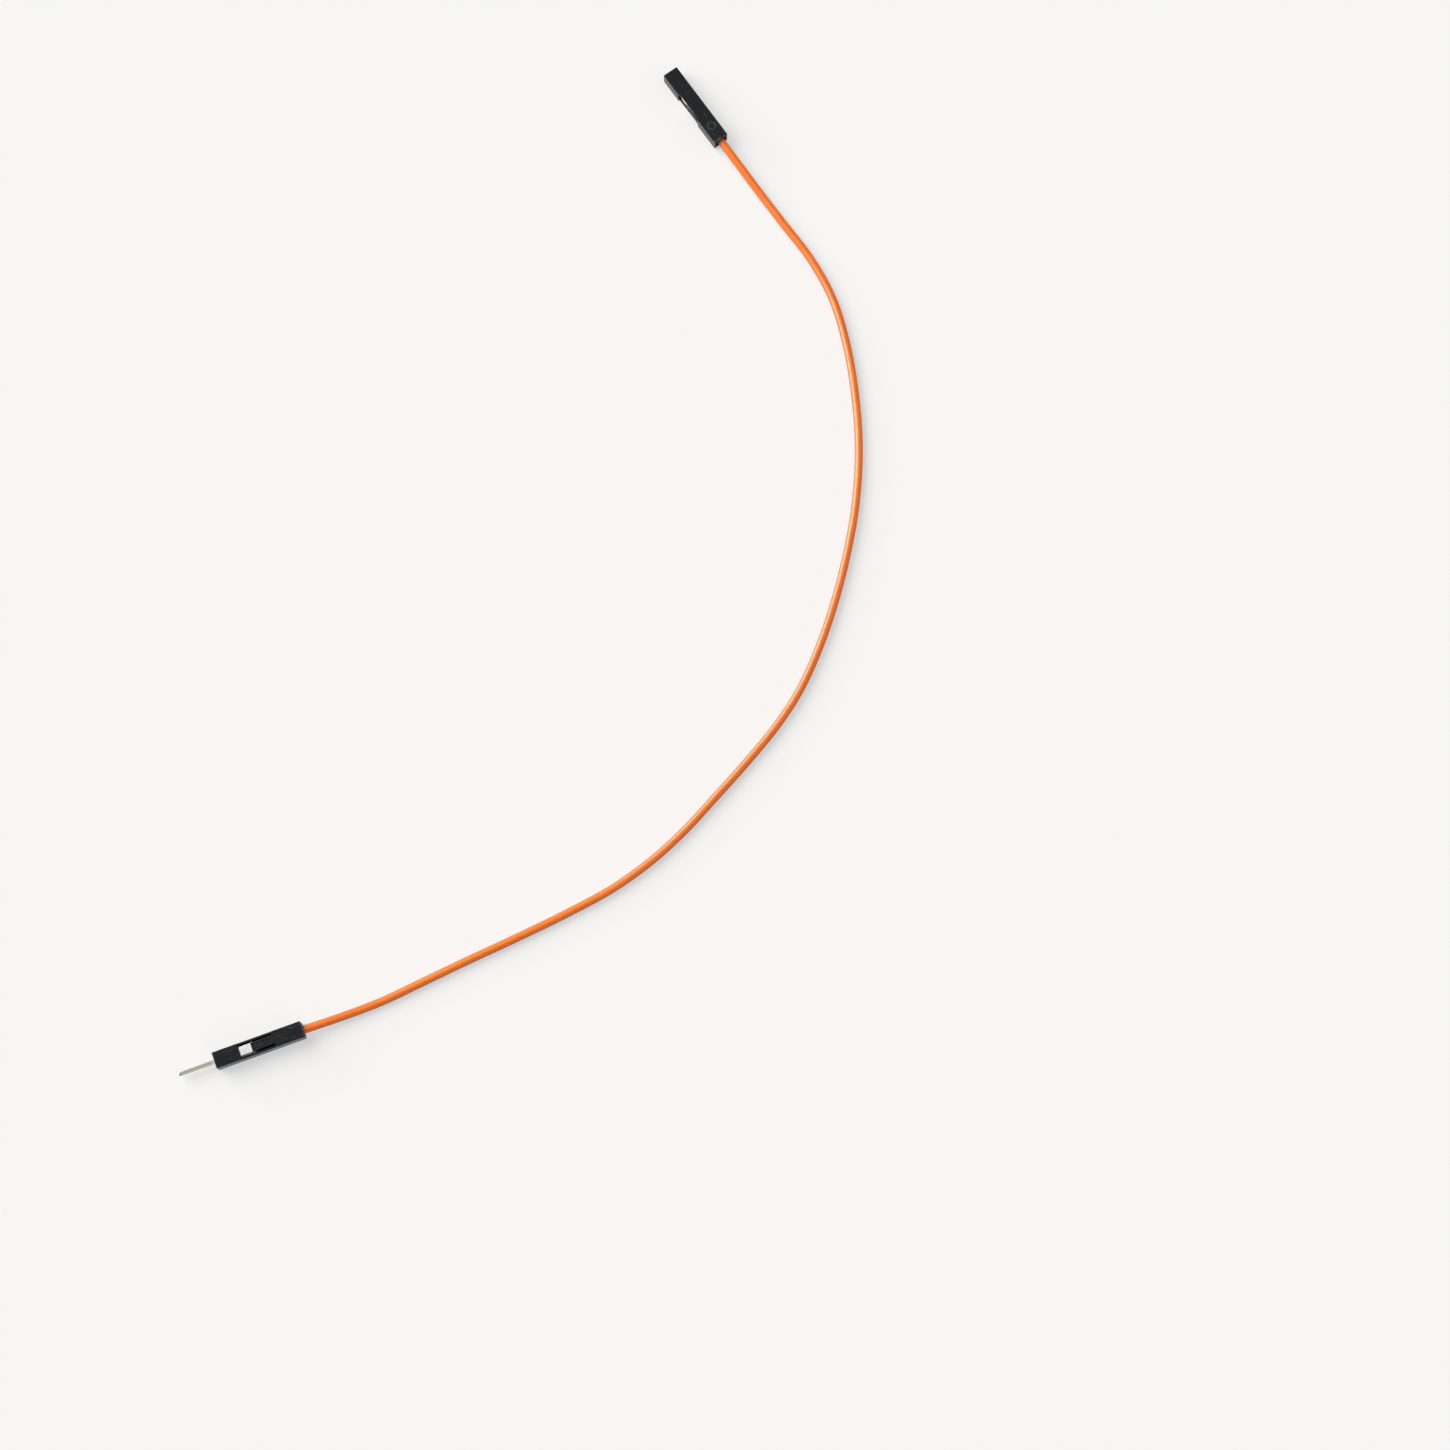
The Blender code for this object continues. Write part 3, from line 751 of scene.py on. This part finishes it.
def shape_latch_tongue():
    """The tongue slopes down into the opening from the skirt, with a shallow channel and a lip."""
    side = BORE_HALF - SLOT
    tongue = block("tongue", (SKIRT - SLOT, -side, TONGUE_BOTTOM), (TONGUE_TIP, side, TONGUE_TOP))
    # Each place along X, with the height of the tongue's underside and of its top there
    profile = (
        (SKIRT + 0.76, 0.797, 1.160),
        (TONGUE_TIP - 0.40, 0.582, 0.950),
        (TONGUE_TIP - 0.34, 0.576, 1.010),
        (TONGUE_TIP - 0.06, 0.550, 1.010),
        (TONGUE_TIP, 0.610, 0.950),
    )
    for place in (SKIRT, *(column[0] for column in profile[:-1])):
        pick(tongue, "FACE", lambda face: True)
        bpy.ops.mesh.bisect(plane_co=(place, 0.0, 0.0), plane_no=(1.0, 0.0, 0.0))
    for place, bottom, top in profile:
        for start, level in ((TONGUE_BOTTOM, bottom), (TONGUE_TOP, top)):
            pick(tongue, "VERT", lambda vert: near(vert.co.x, place) and near(vert.co.z, start))
            move((0.0, 0.0, level - start))

    def slope(face):
        return face.normal.z > 0.9 and SKIRT < face.calc_center_median().x < TONGUE_TIP - 0.42

    pick(tongue, "FACE", slope)
    bpy.ops.mesh.inset(thickness=CHANNEL_MARGIN, depth=0.0)
    bpy.ops.mesh.inset(thickness=CHANNEL_SLOPE, depth=-CHANNEL_DEPTH)
    close_edit()

    def upper_side(edge):
        on_side = all(near(abs(vert.co.y), side) for vert in edge.verts)
        return on_side and len({face.normal.z > 0.5 for face in edge.link_faces}) > 1

    ease(tongue, upper_side, TONGUE_EASE, 2)
    return tongue


def make_housing(name, node, end):
    """One moulded housing. Its tongue is part of it, and the mould leaves a ring on one side."""
    housing = shape_housing_shell()
    tongue = shape_latch_tongue()
    finish_with(housing, "BOOLEAN", operation="UNION", solver="EXACT", object=tongue)
    bpy.data.objects.remove(tongue, do_unlink=True)
    deselect_all()
    bpy.ops.mesh.primitive_torus_add(
        location=(MARK_PLACE, -HALF, 0.0),
        rotation=(math.pi / 2, 0.0, 0.0),
        major_radius=MARK_RADIUS,
        minor_radius=MARK_GROOVE,
        major_segments=48,
        minor_segments=10,
    )
    ring = bpy.context.object
    deselect_all()
    bpy.ops.mesh.primitive_uv_sphere_add(
        location=(MARK_PLACE, -HALF - DIMPLE_OUTSIDE, 0.0),
        radius=DIMPLE_RADIUS,
        segments=24,
        ring_count=12,
    )
    cut(housing, ring, bpy.context.object)
    smooth(housing, 35.0)
    lay_at(housing, name, end)
    wear(housing, housing_finish(name + "_black", end))
    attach(housing, "root")
    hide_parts(node)


def around(low, high, upper):
    """A test for faces between two places along X that lie higher than a share of their radius."""
    def test(face):
        middle = face.calc_center_median()
        return low < middle.x < high and middle.z > upper * math.hypot(middle.y, middle.z)
    return test


def shape_crimps():
    """The two crimps, drawn as one tube: insulation crimp, floor strip, strand crimp."""
    deselect_all()
    start = (CRIMP, 0.0, 0.0)
    bpy.ops.mesh.primitive_circle_add(
        vertices=STRIP_SIDES,
        radius=FOLD_MID,
        fill_type="NOTHING",
        location=start,
        rotation=(0.0, math.pi / 2, 0.0),
    )
    bpy.ops.object.transform_apply(location=True, rotation=True, scale=True)
    strip = bpy.context.object
    pick(strip, "VERT", lambda vert: True)
    bpy.ops.transform.rotate(value=math.pi / STRIP_SIDES, orient_axis="X", center_override=start)
    bpy.ops.transform.resize(value=(1.0, CRIMP_FLARE, CRIMP_FLARE), center_override=start)
    narrow = STRAND_MID / FOLD_MID
    draw_out((CRIMP_FLARE_LENGTH, 0.0, 0.0), 1 / CRIMP_FLARE)
    draw_out((CRIMP_END - CRIMP - CRIMP_FLARE_LENGTH, 0.0, 0.0))
    draw_out((NECK, 0.0, 0.0))
    draw_out((STRAND_CRIMP - CRIMP_END - NECK, 0.0, 0.0), narrow)
    draw_out((STRAND_CRIMP_END - STRAND_CRIMP, 0.0, 0.0))
    close_edit()
    return strip


def shape_box(front):
    """The square box behind the pin or round the socket, its corners bent."""
    box = block("box", (BOX, -FOLD_MID, -FOLD_MID), (front, FOLD_MID, FOLD_MID))
    ease(box, runs_along(0), BEND, 6)
    pick(box, "FACE", lambda face: abs(face.normal.x) > 0.9)
    bpy.ops.mesh.delete(type="ONLY_FACE")
    close_edit()
    return box


def shape_strip(front):
    """The folded strip from the insulation crimp to the front of the box, open where it is cut."""
    strip = shape_crimps()
    join(strip, shape_box(front))
    pick(strip, "EDGE", lambda edge: all_at(0, STRAND_CRIMP_END)(edge) or all_at(0, BOX)(edge))
    bpy.ops.mesh.bridge_edge_loops(number_cuts=4, interpolation="SURFACE", smoothness=0.8)
    for test in (
        around(CRIMP_END, STRAND_CRIMP, -0.70),
        around(STRAND_CRIMP_END, BOX, 0.05),
        around(CRIMP, CRIMP_END, 0.995),
        around(STRAND_CRIMP, STRAND_CRIMP_END, 0.995),
    ):
        pick(strip, "FACE", test)
        bpy.ops.mesh.delete(type="FACE")

    def wing_edge(vert):
        return vert.co.x < BOX - 1.0 and vert.co.z > 0 and abs(vert.co.y) < 0.12 * vert.co.z

    pick(strip, "VERT", wing_edge)
    bpy.ops.transform.resize(value=(1.0, 0.35, 1.0), center_override=(0.0, 0.0, 0.0))
    return strip


def open_seam(strip):
    """The roof's free edge stops short of the right wall."""
    def test(face):
        middle = face.calc_center_median()
        on_corner = abs(middle.y - middle.z) < 0.05 * (middle.y + middle.z)
        return on_corner and middle.x > BOX and middle.y > 0.1 and middle.z > 0.1
    pick(strip, "FACE", test)
    bpy.ops.mesh.delete(type="FACE")


def give_thickness(strip):
    """Makes the folded surface a sheet, with its cut edges eased."""
    pick(strip, "FACE", lambda face: True)
    bpy.ops.mesh.normals_make_consistent(inside=False)
    close_edit()
    finish_with(strip, "SOLIDIFY", thickness=SHEET, offset=0.0, use_even_offset=True)
    finish_with(
        strip,
        "BEVEL",
        width=SHEET_EASE,
        segments=2,
        limit_method="ANGLE",
        angle_limit=math.radians(60),
    )


def shape_pin():
    """The square pin: eased edges, a tip that draws in, and a hairline where its folds meet."""
    shoulder = PIN_TIP - PIN_TIP_LENGTH
    pin = block("pin", (BOX_FRONT - 0.25, -PIN_HALF, -PIN_HALF), (shoulder, PIN_HALF, PIN_HALF))
    ease(pin, runs_along(0), PIN_EASE, 3)
    pick(pin, "FACE", lambda face: face.normal.x > 0.9)
    for forward, scale in ((0.30, 0.88), (0.20, 0.84), (0.11, 0.80), (0.04, 0.62)):
        draw_out((forward, 0.0, 0.0), scale)
    close_edit()
    seam = block(
        "seam",
        (BORE_END, -SEAM_HALF, -SEAM_HALF),
        (shoulder + 0.10, SEAM_HALF, SEAM_HALF),
    )
    middle = (PIN_TIP, 0.0, 0.0)
    pick(seam, "VERT", lambda vert: True)
    bpy.ops.transform.rotate(value=math.pi / 4, orient_axis="X", center_override=middle)
    move((0.0, 0.0, PIN_HALF))
    close_edit()
    cut(pin, seam)
    return pin


def make_pin_contact(name, node, end):
    """The contact whose box draws in to hold a square pin."""
    strip = shape_strip(PIN_BOX_FRONT)
    pick(strip, "EDGE", all_at(0, PIN_BOX_FRONT))
    for forward, scale in ((0.12, 0.97), (0.30, 0.80), (0.30, 0.72), (0.18, 0.94)):
        draw_out((forward, 0.0, 0.0), scale)
    open_seam(strip)
    give_thickness(strip)
    join(strip, shape_pin())
    finish_contact(strip, name, node, end)


def make_socket_contact(name, node, end):
    """The contact whose roof folds back into its box as a spring leaf."""
    strip = shape_strip(BOX_FRONT)
    for side in (-SPRING_HALF, SPRING_HALF):
        pick(strip, "FACE", lambda face: face.calc_center_median().x > BOX)
        bpy.ops.mesh.bisect(plane_co=(0.0, side, 0.0), plane_no=(0.0, 1.0, 0.0))

    def roof_front(edge):
        inner = all(abs(vert.co.y) < SPRING_HALF + 0.01 for vert in edge.verts)
        upper = all(vert.co.z > 0.7 for vert in edge.verts)
        return inner and upper and all_at(0, BOX_FRONT)(edge)

    pick(strip, "EDGE", roof_front)
    bend = (BOX_FRONT, 0.0, FOLD_MID - SPRING_BEND)
    bpy.ops.mesh.spin(steps=8, angle=math.pi, center=bend, axis=(0.0, 1.0, 0.0))
    leaf = (
        (-0.5, -0.050),
        (-0.5, -0.040),
        (-0.5, -0.028),
        (-0.4, -0.006),
        (-0.4, 0.030),
        (-0.5, 0.065),
        (-0.6, 0.080),
    )
    for back, up in leaf:
        draw_out((back, 0.0, up))
    open_seam(strip)
    give_thickness(strip)
    finish_contact(strip, name, node, end)


def finish_contact(contact, name, node, end):
    smooth(contact, 40.0)
    lay_at(contact, name, end)
    wear(contact, contact_finish(name + "_plating", end))
    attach(contact, "root")
    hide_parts(node)


def make_floor():
    """A plain pale table that keeps the wire's shadow."""
    deselect_all()
    bpy.ops.mesh.primitive_plane_add(size=30.0, location=(0.0, 0.0, 0.0))
    floor = bpy.context.object
    floor.name = "floor"
    wear(floor, floor_finish())


set_camera()
light_table()
copper_strands = [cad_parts[f"conductor_strand_{number}"] for number in range(1, 8)]
make_wire()
make_floor()
make_housing("pin_end_housing", "male_housing", PIN_END)
make_housing("socket_end_housing", "female_housing", SOCKET_END)
make_pin_contact("pin_contact", "male_contact", PIN_END)
make_socket_contact("socket_contact", "female_contact", SOCKET_END)
copper = strand_finish()
for strand in copper_strands:
    wear(strand, copper)
